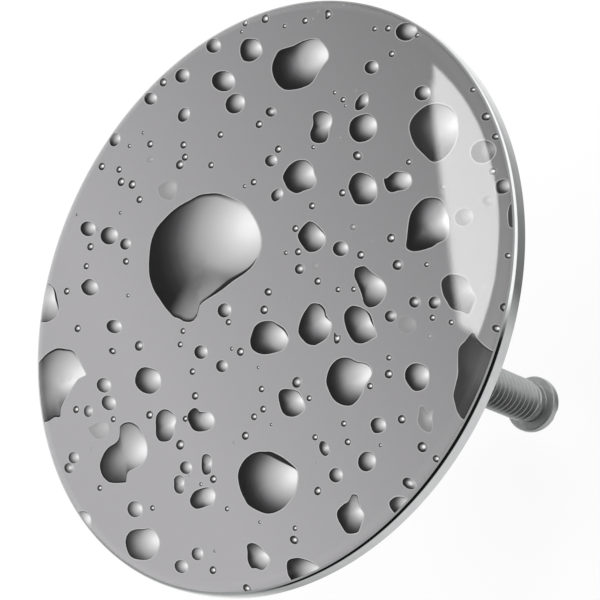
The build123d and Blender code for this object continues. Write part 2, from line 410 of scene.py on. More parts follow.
shaped_drops = [
    drawn(
        (12, 24), (12.1, 25.2), (13, 26.5), (14.2, 27.2), (15.5, 27.4), (16.8, 27.2), (17.8, 26.6),
        (18.6, 25.6), (19.1, 24.5), (19.2, 23.2), (18.8, 22), (18.1, 21.2), (17.1, 20.9), (15.8, 21.3),
        (14, 22), (12.7, 23), shine=0.6,
    ),
    drawn(
        (17.4, 14), (17.4, 15.2), (18, 16.4), (19, 17), (20.2, 17.2), (21.1, 16.9), (21.9, 16.2),
        (22.8, 15.2), (23.4, 14), (23.2, 13.1), (22.5, 12.5), (22, 11.9), (20.5, 11), (19.5, 10.7),
        (18.6, 10.9), (18.2, 11.8), shadow=(90, 0.02),
    ),
    drawn(
        (15.1, -5.2), (15.3, -4.2), (16, -3.4), (17.1, -3), (18.5, -3), (19.7, -2.8), (20.6, -3),
        (21.1, -3.6), (21, -4.5), (20.8, -5.2), (20.9, -6.1), (20.6, -7.1), (20, -7.8), (18.7, -8.1),
        (17.4, -7.9), (16.2, -7.2), (15.4, -6.4), shadow=(85, 0.05),
    ),
    drawn(
        (14, 1.6), (14.4, 2.4), (15.2, 2.7), (16.6, 2.7), (17.6, 2.4), (18.4, 1.7), (19, 1.1), (19.6, 0.5),
        (19.2, 0), (18.6, -0.6), (17.9, -1), (17, -1.1), (16, -0.7), (15, 0), (14.2, 0.9),
        shadow=(58, 0.14),
    ),
    drawn(
        (13, 6.7), (14, 7.2), (15.2, 6.9), (17, 6.5), (18, 6), (18.4, 5.4), (18.4, 4.5), (17.9, 3.6),
        (17, 3.1), (16.1, 3.3), (15.4, 4), (14.8, 4.5), (14, 5.1), (13.2, 5.7), (12.9, 6.4),
        shadow=(85, 0.04),
    ),
    drawn(
        (25.2, 8.7), (25.6, 9.6), (26.5, 10), (27.7, 10.1), (28.6, 9.8), (29.5, 9), (30.4, 8.4),
        (30.5, 7.4), (30.4, 6.5), (29.5, 6.5), (28, 6.4), (27, 6.9), (26, 7.6), shine=0.45,
    ),
    drawn(
        (8.2, -1), (8.4, 0.2), (8.8, 1), (10, 1.3), (11, 1), (11.6, 0.4), (12.7, -0.2), (13, -1),
        (12.9, -2), (12, -3), (11.5, -3.3), (10.5, -3.4), (9.2, -3), (8.5, -2.4), shadow=(75, 0.12),
    ),
    drawn(
        (2, -5), (2, -4), (2.7, -3.2), (4, -2.7), (5, -2.7), (6.4, -2.9), (7.4, -3.5), (7.7, -4.2),
        (7.4, -5.2), (6.4, -5.9), (5.2, -6.5), (4, -6.7), (2.9, -6.5), (2.2, -5.8), shadow=(65, 0.1),
    ),
    drawn(
        (2.6, 7.9), (2.9, 9), (3.5, 9.7), (4.5, 9.7), (5.5, 9.4), (6.5, 8.9), (7, 8.1), (6.7, 7.2),
        (6, 6.6), (5, 6.4), (3.7, 6.9), (2.9, 7.4), shadow=(68, 0.1),
    ),
    drawn(
        (6.9, 15.6), (7, 16.4), (7.7, 17), (8.7, 17.1), (9.7, 17), (10.5, 16.6), (11.1, 16), (11.5, 15.2),
        (11.5, 14.7), (11.1, 14.1), (10.2, 13.7), (9.2, 13.5), (8.5, 13.8), (7.7, 14.4), (7.1, 14.9),
    ),
    drawn(
        (-3.3, 14), (-3.1, 14.8), (-2.7, 15.4), (-2.1, 15.9), (-1.2, 16.2), (-0.4, 16.2), (0.5, 15.8),
        (1.2, 15.1), (1.9, 14.5), (2, 14), (1.7, 13.4), (0.9, 12.9), (0, 12.3), (-0.8, 12.2), (-1.8, 12.4),
        (-2.6, 12.9), (-3.2, 13.4),
    ),
    drawn(
        (3.4, 22), (3.6, 22.7), (4.2, 23.2), (5, 23.6), (5.6, 23.7), (6.4, 23.5), (7.1, 23.1), (7.5, 22.5),
        (7.6, 22), (7.4, 21.3), (6.8, 20.7), (5.9, 20.3), (5.2, 20.3), (4.4, 20.6), (3.7, 21.2),
        shadow=(105, 0.07),
    ),
    drawn(
        (-2.6, 21.5), (-2.2, 22.1), (-1.2, 22.4), (0, 22.2), (0.6, 21.5), (0.7, 20.5), (1, 19.6), (0.8, 19),
        (-0.2, 18.6), (-1.2, 18.7), (-1.9, 19.4), (-2, 20.5), shadow=(115, 0.09),
    ),
    drawn(
        (24.2, -18.9), (24.6, -18), (25.1, -17.4), (25.2, -16.6), (25.9, -16.4), (26.4, -16.9), (27, -17.5),
        (27.8, -18), (28, -19.2), (27.9, -20), (26.7, -20.6), (25.6, -20.2), (24.6, -19.6),
    ),
    drawn(
        (20.4, -26.4), (21.4, -25.6), (22.7, -25.3), (24.2, -25.2), (24.9, -25.6), (25.6, -26.6),
        (24.5, -28), (22.7, -28.4), (21.7, -28), (21, -27.5),
    ),
    drawn(
        (14, -27), (14.5, -26.5), (15.5, -26.4), (16.7, -26.7), (17.8, -27.1), (17.9, -27.9), (17.5, -28.6),
        (16.5, -28.8), (15.9, -29), (15, -28.5), (14.4, -27.6),
    ),
    drawn(
        (-4, -32.7), (-3.7, -32.1), (-3, -31.6), (-2, -31.2), (-1.2, -30.8), (-0.4, -30.7), (0.5, -31),
        (1.2, -31.5), (1.5, -32.2), (1.4, -33.1), (0.8, -33.9), (-0.2, -34.4), (-1.4, -34.7), (-2.5, -34.6),
        (-3.4, -34), (-3.9, -33.4), shadow=(125, 0.08),
    ),
    drawn(
        (-7.2, -18.5), (-7, -17.9), (-6.4, -17.4), (-5.5, -17.3), (-4.6, -17.5), (-3.9, -18), (-3.8, -18.6),
        (-3.5, -19.2), (-3.4, -19.8), (-3.7, -20.5), (-4.5, -20.9), (-5.2, -21), (-6, -20.6), (-6.6, -19.7),
        (-7, -19.1), shadow=(110, 0.07),
    ),
    drawn(
        (-2.5, -16.6), (-2.2, -15.9), (-1.6, -15.6), (-0.9, -15.8), (-0.1, -15.6), (0.5, -15.4),
        (1.2, -15.5), (1.8, -15.9), (2, -16.5), (1.7, -17.1), (1, -17.6), (0, -18), (-0.8, -18),
        (-1.5, -17.7), (-2.2, -17.2), shadow=(112, 0.14),
    ),
    drawn(
        (-13.1, -15.2), (-12.9, -14.4), (-12.2, -13.9), (-11, -13.7), (-10, -13.7), (-9.1, -14.2),
        (-8.6, -15), (-8.7, -15.7), (-9.4, -16.4), (-10.5, -16.7), (-11.7, -16.6), (-12.7, -16.1),
    ),
    drawn(
        (9.5, -10), (10, -9.2), (12, -8.8), (13.2, -9.4), (14, -10.2), (13.6, -11.1), (12.7, -11.7),
        (11.5, -11.8), (10.5, -11.2), shadow=(80, 0.06),
    ),
    drawn(
        (3.1, -25.1), (3.3, -24.4), (4, -23.8), (4.9, -23.3), (5.6, -23.2), (6.4, -23.5), (6.7, -24.1),
        (6.6, -24.8), (6, -25.2), (5.2, -25.8), (4.5, -26.1), (3.7, -26), (3.2, -25.6), shadow=(118, 0.13),
    ),
    drawn(
        (25.4, -1.7), (25.8, -0.9), (26.7, -0.5), (28, -0.6), (28.7, -1.4), (28.9, -2.4), (28.4, -3.1),
        (27.5, -3.4), (26.4, -3), (25.7, -2.5),
    ),
    drawn(
        (30.4, -15.5), (30.9, -14.7), (31.9, -14.3), (32.6, -14.6), (32.9, -15.6), (31.9, -16.3),
        (30.9, -16.1),
    ),
    drawn(
        (-18.6, 27), (-18.3, 27.7), (-17.5, 28), (-16.4, 28.1), (-15.4, 27.6), (-14.8, 27), (-14.8, 26.4),
        (-15.3, 25.7), (-16, 25.3), (-17, 25.2), (-17.8, 25.6), (-18.4, 26.3),
    ),
    drawn(
        (2.9, 24.5), (3.1, 25.4), (3.7, 25.9), (4.3, 25.7), (4.7, 24.9), (4.4, 24.2), (3.9, 23.8),
        (3.3, 23.8),
    ),
    drawn(
        (2.3, -20.3), (2.7, -19.9), (3.5, -19.9), (3.9, -20.2), (4.2, -20.9), (4.5, -21.5), (4.1, -22),
        (3.6, -22.1), (3.1, -21.8), (2.6, -21.1), shadow=(110, 0.08),
    ),
    drawn(
        (-0.5, -24.2), (-0.2, -23.7), (0.3, -23.5), (0.9, -23.6), (1.2, -24), (1.4, -24.5), (1.7, -25),
        (1.4, -25.4), (0.7, -25.5), (0.1, -25.2), (-0.2, -24.7),
    ),
    drawn((-3.9, 11.1), (-3.4, 11.9), (-2.6, 12), (-2.1, 11.4), (-2.7, 10.5), (-3.4, 10.5)),
    drawn(
        (11.6, 17.2), (12, 17.5), (12.7, 18.4), (14, 18.7), (15, 18.6), (15.6, 17.8), (15.2, 17),
        (14.2, 16.5), (13.4, 16.1), (12.5, 16.3),
    ),
    drawn((-7.4, 33.9), (-6.8, 34.1), (-6.2, 33.7), (-6.5, 33.1), (-6.8, 32.9), (-7.1, 33.2)),
    drawn(
        (-28.4, -8), (-27.9, -7.2), (-27.2, -6.9), (-26, -7.1), (-25.3, -7.6), (-25.2, -8.1), (-25.7, -8.6),
        (-26.5, -8.9), (-27.5, -8.8), (-28.2, -8.4),
    ),
    drawn((13.7, -1), (14.2, -1.2), (14.7, -1), (15, -1.5), (14.8, -2), (14.4, -2.1), (14, -1.7)),
    drawn(
        (23.7, -8.5), (24, -7.9), (24.9, -7.6), (25.7, -8), (25.9, -8.6), (25.5, -9.1), (24.7, -9.4),
        (24, -9),
    ),
    drawn(
        (29.2, -4.8), (29.6, -4.6), (30.4, -5), (31, -4.6), (31.2, -5.2), (31.6, -5.9), (31.9, -6.6),
        (31.5, -6.9), (30.5, -6.8), (29.7, -6.3), (29.4, -5.5), clarity=0.5,
    ),
    drawn((29.6, 19.1), (30, 19.5), (30.8, 18.4), (31.3, 17.2), (30.7, 16.9), (29.9, 18.1), shine=0.2),
]
round_drops = [
    (-23.1, 25.75, 1.27, 0.87, -5), (-26.25, 21, 1.25, 0.9), (-30, 16.95, 1.15, 0.77),
    (-23.2, 16.45, 1, 0.93), (-19, 22, 2.05, 1.25, -5), (-15.55, 19.85, 1.6, 1.25),
    (5.85, 34.1, 1.55, 1.03, -6), (3.05, 29, 1.06, 0.78), (11.9, 27.9, 1.15, 0.85),
    (27.8, 20.75, 0.92, 0.83), (-6.1, 14.8, 0.98, 0.72), (-9.3, 20.3, 0.9, 0.58),
    (6.45, 18.75, 0.8, 0.5, -30), (-33.2, 10.5, 0.92, 0.88), (-31.35, -1.25, 1.47, 0.92, -4),
    (-27.2, -1, 1.6, 1.1), (-23.85, -1.15, 0.97, 0.72), (-19.95, -11.05, 1.4, 0.8, 8),
    (9.6, 8.05, 1.17, 0.85), (-3.6, -3.75, 1.1, 0.85), (-4.5, -9.4, 1.1, 0.8), (-0.45, -9.85, 0.95, 0.7),
    (22.8, 5.55, 0.8, 0.62, 10), (25.4, 6.3, 0.8, 0.7), (20.4, 3.1, 0.84, 0.65), (18.45, 8.7, 0.76, 0.6),
    (11.4, -7.9, 0.72, 0.65), (-17.6, -18.1, 1.3, 0.86), (-15.6, -19.75, 1.32, 0.85, -10),
    (-18.35, -21.8, 0.8, 0.72, 25), (-17.55, -27.7, 0.95, 0.68), (-17.6, -29.1, 0.88, 0.6),
    (0.55, -22.4, 1, 0.72), (-4.5, -29.6, 1.28, 0.92, 8), (7.5, -30.6, 0.93, 0.72),
    (5.95, -32.8, 1.1, 0.72, 15), (25.3, -12.6, 1.22, 1.1), (31.8, -12.75, 0.9, 0.55),
    (22, -15.45, 0.97, 0.8), (18.95, -13.35, 0.7, 0.85, 40), (20.5, -17.9, 0.52, 0.5),
    (-14.55, -11.85, 0.77, 0.63), (5, 4.15, 0.76, 0.6), (31.65, -8.6, 0.72, 0.55),
    (20.1, -23.95, 0.68, 0.45), (16.3, -31.2, 0.6, 0.42), (-1.7, -20.3, 0.7, 0.6), (-20.3, 10.5, 0.73, 0.6),
    (-22.5, -3.1, 0.6, 0.42, -25), (-18.5, -13.85, 0.7, 0.37), (-12, -33.8, 1.6, 1.05),
    (34.5, 6.2, 0.6, 0.4), (1.85, 0.3, 0.66, 0.45),
]
bead_stretch = 1.2
beads = [
    (-28.95, 19.45, 0.55), (-15.75, 15.7, 0.44), (-16.4, 30.85, 0.53), (-19.4, 29.6, 0.4),
    (-19.4, 28.5, 0.25), (-12.85, 30.7, 0.29), (-21.1, 12.95, 0.48), (-28.8, 12.6, 0.23), (5.2, 31.2, 0.4),
    (3.1, 33.95, 0.42), (1.15, 33.45, 0.34), (7.7, 34.05, 0.27), (-9.95, 32.05, 0.43), (-0.8, 24.9, 0.28),
    (0.9, 24.4, 0.36), (1.6, 23.8, 0.21), (-0.55, 18, 0.27), (-10.3, 18.45, 0.5), (6.55, 14.15, 0.46),
    (-5.7, 16.4, 0.48), (14.05, 20, 0.35), (25.8, 22, 0.43), (21.8, 27.5, 0.5), (24.1, 25.7, 0.4),
    (18.5, 29.9, 0.33), (32.1, 13.9, 0.34), (-26.75, 11.6, 0.48), (-30.2, 10.45, 0.28), (-20, 11.6, 0.47),
    (-15.2, 11.8, 0.42), (-33.5, 6.75, 0.51), (-30.25, 7.2, 0.45), (-29, 5.85, 0.57), (-26.9, 6.05, 0.58),
    (-24.6, 4.65, 0.48), (-26.9, 2.2, 0.24), (-34.3, -0.15, 0.2), (-29.6, -3.2, 0.5), (-28.9, -5.65, 0.42),
    (-19.8, -6.85, 0.26), (-30.45, -9.55, 0.46), (-7.35, 11.7, 0.43), (-8.5, 10.85, 0.27),
    (2.95, 11.5, 0.43), (1.9, 8.35, 0.43), (3.75, 5.95, 0.45), (2, 5.3, 0.28), (8.35, 3.65, 0.45),
    (11.7, 3.65, 0.34), (2.35, -1.8, 0.54), (-2.2, -4.8, 0.4), (1.45, -7.4, 0.5), (-0.05, -7.5, 0.25),
    (5, -8.2, 0.2), (-8.6, -8, 0.37), (-8.15, -9.6, 0.38), (6.8, -10.3, 0.39), (-4.5, -11.9, 0.41),
    (12.85, 8.25, 0.48), (16.05, 11.25, 0.52), (13.85, 4.35, 0.33), (26, 4.7, 0.36), (28.65, 5, 0.32),
    (22.3, 9.9, 0.3), (34.3, 8.6, 0.48), (22.5, -1.2, 0.33), (23.4, -2.85, 0.5), (21.6, -4.9, 0.38),
    (27.55, -6.8, 0.48), (33.8, -9.1, 0.38), (14.05, -8.95, 0.35), (20.2, -9.9, 0.36), (26.2, -10.35, 0.22),
    (21.75, -11.55, 0.39), (-25.9, -13.2, 0.48), (-20.45, -22.3, 0.46), (-13.75, -21.25, 0.38),
    (-8.3, -18.8, 0.5), (-2.55, -14.35, 0.47), (-2.6, -17.3, 0.37), (5.3, -22.1, 0.46), (3.8, -23.3, 0.23),
    (9.05, -24.4, 0.3), (8.25, -12.3, 0.41), (7.4, -13.55, 0.41), (7.3, -15.95, 0.48), (10.3, -13.5, 0.2),
    (-1.9, -28.45, 0.34), (-11.3, -29.4, 0.37), (10.7, -31.35, 0.45), (9.8, -29.35, 0.17),
    (17.1, -12.65, 0.36), (19.55, -22.75, 0.31), (14.4, -24, 0.2),
]
faint_drops = [
    drawn(
        (-22.4, 6.9), (-22.1, 7.4), (-21.7, 7.7), (-21.2, 8.1), (-20.4, 8.3), (-19.6, 8.1), (-19.1, 7.3),
        (-19.1, 6.6), (-19.4, 6), (-20.2, 5.9), (-21.1, 5.9), (-21.9, 6.3), clarity=0.35,
    ),
    drawn(
        (-26.3, 9.8), (-25.9, 10.1), (-25.3, 10.3), (-24.8, 10.1), (-25, 9.7), (-25.5, 9.4), (-26, 9.3),
        clarity=0.3,
    ),
    Drop(23, 2.9, 1.35, 0.95, clarity=0.2),
    drawn(
        (-17.2, -23.6), (-16.6, -23), (-15.9, -22.4), (-14.8, -22), (-14, -22.4), (-13.7, -23.1),
        (-14, -23.7), (-14.7, -24.2), (-15.6, -24.3), (-16.6, -24), clarity=0.35,
    ),
    Drop(7.1, 5.2, 0.75, 0.5, -35, clarity=0.18), Drop(26.6, 2.7, 0.38, 0.35, clarity=0.35),
    Drop(30.8, 9.8, 0.55, 0.5, clarity=0.35), Drop(23.4, 23.7, 1.65, 1.3, shine=0.35),
    Drop(24.5, 16.2, 1.2, 1, clarity=0.7, shine=0.5), Drop(26.8, 18.8, 0.85, 0.6, clarity=0.7, shine=0.5),
    Drop(20.1, 18.6, 0.45, 0.33, clarity=0.6), Drop(10.1, 10.9, 0.5, 0.42, clarity=0.6),
    Drop(5.05, 0.45, 0.25, 0.2, clarity=0.5), Drop(-8.95, 32.5, 0.25, 0.2, clarity=0.5),
    Drop(-8.6, 33.5, 0.3, 0.22, clarity=0.35), Drop(2.15, 25.85, 0.25, 0.2, clarity=0.4),
    Drop(2.75, 20.05, 0.3, 0.25, clarity=0.3), Drop(6.1, -17.25, 0.28, 0.22, clarity=0.5),
    Drop(1.55, -23, 0.25, 0.2, clarity=0.5), Drop(-29.55, -0.8, 0.3, 0.22, clarity=0.5),
    Drop(-5.3, 35, 0.28, 0.2, clarity=0.6), Drop(-15.2, -25.7, 0.3, 0.25, clarity=0.3),
    Drop(18.7, -15.1, 0.25, 0.2, clarity=0.4),
]
drops = great_drops + shaped_drops + faint_drops + [Drop(*facts) for facts in round_drops]
drops += [Drop(x, y, size * bead_stretch, size) for x, y, size in beads]

halo_width = 0.13
inner_ring_shares = (0.93, 0.84, 0.7, 0.5, 0.25)        # rings that carry a drawn edge inwards
points, edges, faces, owners = [], [], [], []


def add_loop(ring, owner=None):
    """Adds a ring of points as a face with an owner, or as plain edges."""
    first = len(points)
    points.extend(ring)
    around = list(range(first, len(points)))
    if owner is None:
        edges.extend(zip(around, around[1:] + around[:1]))
    else:
        faces.append(around)
        owners.append(owner)


film_steps = 384
film_angles = [math.tau * step / film_steps for step in range(film_steps)]
film_edge = [Vector((math.cos(angle), math.sin(angle))) * film_radius for angle in film_angles]
add_loop(film_edge, ("film", None))
for drop in drops:
    add_loop(drop.edge(1.0, halo_width), ("halo", drop))
    add_loop(drop.edge(1.0), ("drop", drop))
    if drop.shaped:
        for share in inner_ring_shares:
            add_loop(drop.edge(share))
corners, _, triangles, _, _, origins = delaunay_2d_cdt(points, edges, faces, 0, 1e-5, True)

surface_points = [(p.x * MM, p.y * MM, film_high.z * MM) for p in corners]
kept, drop_places, drop_looks, drop_shadows = [], [], [], []
for triangle, origin in zip(triangles, origins):
    held = [owners[at] for at in origin]
    if ("film", None) not in held:
        continue
    inside = [drop for kind, drop in held if kind == "drop"]
    around = [drop for kind, drop in held if kind == "halo"]
    kept.append(triangle)
    for corner in triangle:
        point = corners[corner]
        drop_shadows.append(inside[-1].shadow if inside else (0.0, 0.0, 0.0))
        if inside:
            drop = inside[-1]
            place = drop.local(point)
            drop_places.append((place.x, place.y, drop.shine))
            drop_looks.append((0.0, drop.size, drop.clarity))
        elif around:
            drop = around[-1]
            out = drop.seen(point).length * (1.0 - 1.0 / max(drop.local(point).length, 1.0))
            drop_places.append((0.0, 0.0, 0.0))
            drop_looks.append((max(0.0, 1.0 - out / halo_width), drop.size, drop.clarity))
        else:
            drop_places.append((0.0, 0.0, 0.0))
            drop_looks.append((0.0, 0.0, 0.0))
film_mesh = bpy.data.meshes.new("print_film")
film_mesh.from_pydata(surface_points, [], kept)
for name, values in (("drop_place", drop_places), ("drop_look", drop_looks), ("drop_shadow", drop_shadows)):
    layer = film_mesh.attributes.new(name, "FLOAT_VECTOR", "CORNER")
    layer.data.foreach_set("vector", [number for value in values for number in value])
form = bmesh.new()
form.from_mesh(film_mesh)
bmesh.ops.delete(form, geom=[v for v in form.verts if not v.link_faces], context="VERTS")
rim = [edge for edge in form.edges if edge.is_boundary]
sides = bmesh.ops.extrude_edge_only(form, edges=rim)["geom"]
lower = [part for part in sides if isinstance(part, bmesh.types.BMVert)]
bmesh.ops.translate(form, verts=lower, vec=(0, 0, (film_low.z - film_high.z) * MM))
bmesh.ops.contextual_create(form, geom=[part for part in sides if isinstance(part, bmesh.types.BMEdge)])
bmesh.ops.recalc_face_normals(form, faces=form.faces)
form.to_mesh(film_mesh)
form.free()

print_ink, place = new_material("printed_drops")
across = place.node("ShaderNodeSeparateXYZ", None, {0: place})
along = across.other(1)


def told(name):
    """The three numbers that each corner of the film keeps under a name."""
    first = place.node("ShaderNodeAttribute", {"attribute_name": name}, output=1)
    first = first.node("ShaderNodeSeparateXYZ", None, {0: first})
    return first, first.other(1), first.other(2)


right, up, shine = told("drop_place")
halo, size, clarity = told("drop_look")
shadow_right, shadow_up, shadow_depth = told("drop_shadow")
inside = shine.math("GREATER_THAN", 0.01)
distance = (right * right + up * up) ** 0.5


def towards(degrees):
    """How far a point of a drop lies towards an angle, from -1 to 1."""
    return right * math.cos(math.radians(degrees)) + up * math.sin(math.radians(degrees))


fall = across * 0.46 + along * 0.89
depth = fall.ramp(-30.0, -12.0, 0.82, 1.0) + fall.ramp(5.0, 22.0, 0.0, 0.06)
lit = towards(38) + (towards(53) - towards(38)) * size.ramp(4.0, 7.0)
beside = towards(128) + (towards(143) - towards(128)) * size.ramp(4.0, 7.0)
from_light = ((lit - 0.95) * (lit - 0.95) + beside * beside * 1.45) ** 0.5
tones = from_light.node(
    "ShaderNodeValToRGB",
    {
        "stops": [
            (0.0, (0.98, 0.978, 0.982)), (0.1, (0.9, 0.898, 0.903)), (0.18, (0.75, 0.747, 0.753)),
            (0.27, (0.61, 0.607, 0.613)), (0.35, (0.5, 0.497, 0.503)), (0.43, (0.4, 0.397, 0.403)),
            (0.52, (0.27, 0.267, 0.273)), (0.6, (0.155, 0.153, 0.158)), (0.68, (0.07, 0.069, 0.072)),
            (0.76, (0.03, 0.03, 0.031)), (0.85, (0.014, 0.014, 0.015)), (0.95, (0.01, 0.01, 0.011)),
        ]
    },
    {0: from_light * depth * 0.5},
)
facing = lit / distance
shadow_facing = (right * shadow_right + up * shadow_up) / distance
wedge = 1 - (1 - shadow_facing) / 0.28
shadow_edge = shadow_depth * wedge.math("MAXIMUM", 0.0)
shadow = (distance + shadow_edge).ramp(0.98, 1.02) * size.ramp(0.6, 1.0)
line = distance.ramp(0.92, 0.99) * towards(20).ramp(0.15, 0.75, 1.0, 0.0)
neck = size.ramp(6.0, 7.0) * distance.ramp(0.2, 0.9) * (towards(-54) / distance).ramp(0.7, 0.97)
drop_tone = mixed(neck, tones, shade(0.3))
drop_tone = mixed(shadow, drop_tone, shade(0.02))
drop_tone = mixed(line, drop_tone, shade(0.012))
bead_ring = distance.ramp(0.3, 0.62) * facing.ramp(0.2, 0.9, 1.0, 0.35)
sparkle = ((right - 0.2) * (right - 0.2) + (up - 0.15) * (up - 0.15)) ** 0.5
bead_tone = mixed(bead_ring, shade(0.3), shade(0.02))
bead_tone = mixed(sparkle.ramp(0.24, 0.42, 1.0, 0.0), bead_tone, shade(0.95))
drop_tone = mixed(size.ramp(0.5, 0.72), bead_tone, drop_tone)
drop_tone = mixed((1 - clarity) * 0.6, drop_tone, shade(0.5))
drop_tone = mixed(shine, shade(0.05), drop_tone)
darkening = fall.node("ShaderNodeMapRange", None, {0: fall, 1: -18.0, 2: 34.0})
ground = mixed(darkening, shade(0.445, (1.0, 0.98, 1.01)), shade(0.225, (1.0, 0.985, 1.01)))
ground = mixed(halo * clarity * size.ramp(0.4, 1.0, 0.3, 0.9), ground, shade(0.66))
ink = mixed(inside * clarity, ground, drop_tone)
speck = mixed(grain(place, 14.0, 2.0), shade(0.985), shade(1.015))
speckled = {"data_type": "RGBA", "blend_type": "MULTIPLY"}
ink = ink.node("ShaderNodeMix", speckled, {0: 1.0, 6: ink, 7: speck}, 2)
finish_material(
    print_ink,
    {
        "Base Color": ink,
        "Roughness": grain(place, 3.0).ramp(0.2, 0.8, 0.42, 0.55),
        "Specular IOR Level": 0.1,
    },
)
film = new_piece("print_film_drops", film_mesh, print_ink)
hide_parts("print_film")
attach(film, "stopper")

# Clear lens. Resin poured over the print, nearly flat, that draws down to the rim by its
# own surface as it sets. It wets the film, so no air lies between them.

lens_low, lens_high = (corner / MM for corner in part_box("clear_dome"))
lens_radius = recess_radius - 0.03
lens_sink = 0.02
lens_arc_steps = 16
lens_fall_width = 1.1
lens_edge_height = 0.24
lens_crown_drop = 0.1
shoulder = Vector((lens_radius - lens_fall_width, lens_high.z - lens_crown_drop))
edge = Vector((lens_radius, lens_low.z + lens_edge_height))
slope = -2 * lens_crown_drop / shoulder.x
chord = edge - shoulder
turning = 2 * (slope - math.atan2(chord.y, chord.x))
bend_radius = chord.length / (2 * math.sin(turning / 2))
lens_outline = [Vector((0, lens_low.z - lens_sink)), Vector((edge.x, lens_low.z - lens_sink))]
for step in range(lens_arc_steps + 1):
    angle = slope - turning * (1 - step / lens_arc_steps)
    bend = Vector((math.sin(slope) - math.sin(angle), math.cos(angle) - math.cos(slope)))
    lens_outline.append(shoulder + bend * bend_radius)
for step in reversed(range(lens_arc_steps)):
    share = step / lens_arc_steps
    lens_outline.append(Vector((shoulder.x * share, lens_high.z - lens_crown_drop * share**2)))

resin, place = new_material("clear_poured_resin")
clear = place.node(
    "ShaderNodeBsdfPrincipled",
    None,
    {
        "Base Color": shade(0.985, (1.0, 0.998, 0.99)),
        "Roughness": grain(place, 0.35).ramp(0.3, 0.7, 0.01, 0.02),
        "IOR": 1.5,
        "Transmission Weight": 1.0,
        "Normal": bumped(grain(place, 0.12, 1.0), 0.001),
    },
)
open_air = place.node("ShaderNodeBsdfTransparent")
shadow_ray = place.node("ShaderNodeLightPath", output="Is Shadow Ray")
lighting_ray = shadow_ray.math("MAXIMUM", shadow_ray.other("Is Diffuse Ray"))
finish_material(resin, {0: lighting_ray, 1: clear, 2: open_air}, "ShaderNodeMixShader")
lens = turned("clear_lens", lens_outline, resin, segments=384)
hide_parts("clear_dome")
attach(lens, "stopper")

# Hub. A turned brass boss under the cap: a collar with two spanner flats, a flange that
# the seal rests on, and an outside thread for the seal's nut.

hub_low, hub_high = (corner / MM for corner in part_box("hub"))
flange_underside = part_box("drain_seal")[1].z / MM
flange_radius = hub_high.x
flange_overhang = 1.0
flange_thickness = 1.6
flats_depth = 1.0
collar_radius = flange_radius - flange_overhang
flats_radius = collar_radius - flats_depth
flange_top = flange_underside + flange_thickness
flats_start = flange_top + 0.02
turned_edge, bore_chamfer = 0.4, 0.4
collar_rounding = 0.15
hub_thread_radius = 6.0
hub_thread_root = 5.45
hub_thread_pitch = 1.25
hub_core_radius = hub_thread_root - 0.05        # just inside the thread that winds round it
hub_thread_low, hub_thread_high = hub_low.z + 0.1, flange_underside - 1.2
hub_bore_radius = 2.96

brass, place = new_material("turned_brass")
rings = grain(place, 1.0, 3.0, (0.05, 0.05, 9.0))
stain = grain(place, 0.5, 4.0)
finish_metal(
    brass,
    mixed(stain.ramp(0.35, 0.75), (0.78, 0.6, 0.31, 1.0), (0.6, 0.43, 0.2, 1.0)),
    (rings + stain).ramp(0.6, 1.4, 0.2, 0.38),
    bumped(rings, 0.012),
)
rows_each_turn = 8


def thread_tree():
    """A node tree that winds a closed screw thread round Z, with its ends run out to the root."""
    group = bpy.data.node_groups.new("screw_thread", "GeometryNodeTree")
    group.interface.new_socket("Thread", in_out="OUTPUT", socket_type="NodeSocketGeometry")
    for name in ("Crest Radius", "Root Radius", "Pitch", "Bottom", "Top"):
        group.interface.new_socket(name, in_out="INPUT", socket_type="NodeSocketFloat")
    for name in ("Rows", "Steps Round"):
        group.interface.new_socket(name, in_out="INPUT", socket_type="NodeSocketInt")
    group.interface.new_socket("Finish", in_out="INPUT", socket_type="NodeSocketMaterial")
    tree = Wire(group)
    given = tree.node("NodeGroupInput").socket.node
    value = {socket.name: Wire(group, socket) for socket in given.outputs if socket.name}
    rows, steps, pitch = value["Rows"], value["Steps Round"], value["Pitch"]
    bottom, top, root = value["Bottom"], value["Top"], value["Root Radius"]
    grid = tree.node(
        "GeometryNodeMeshGrid",
        None,
        {"Size X": 1.0, "Size Y": 1.0, "Vertices X": rows + 1, "Vertices Y": steps + 1},
    )
    at = tree.node("ShaderNodeSeparateXYZ", None, {0: tree.node("GeometryNodeInputPosition")})
    row = ((at + 0.5) * rows).math("ROUND")
    turn = at.other(1) + 0.5
    turns = row / rows_each_turn
    height = bottom + pitch * (turns + turn - 1.5)
    height = height.math("MAXIMUM", bottom).math("MINIMUM", top)
    tooth = 1 - (turns.math("FRACT") * 2 - 1).math("ABSOLUTE")
    tooth = tree.node("ShaderNodeMapRange", None, {0: tooth, 1: 0.1, 2: 0.9})
    run_out = ((height - bottom) / pitch).math("MINIMUM", (top - height) / pitch)
    run_out = tree.node("ShaderNodeMapRange", None, {0: run_out, 1: 0.0, 2: 0.8})
    reach = root + (value["Crest Radius"] - root) * tooth * run_out
    reach = reach * row.math("GREATER_THAN", 0.5) * row.math("LESS_THAN", rows - 0.5)
    angle = turn * math.tau
    spot = tree.node(
        "ShaderNodeCombineXYZ",
        None,
        {0: reach * angle.math("COSINE"), 1: reach * angle.math("SINE"), 2: height},
    )
    wound = grid
    for job, inputs in (
        ("SetPosition", {"Position": spot}),
        ("MergeByDistance", {"Distance": 0.002 * MM}),
        ("RealizeInstances", {}),
        ("SetMaterial", {"Material": value["Finish"]}),
    ):
        wound = tree.node("GeometryNode" + job, None, {"Geometry": wound, **inputs})
    tree.node("NodeGroupOutput", None, {"Thread": wound})
    return group


thread_maker = thread_tree()


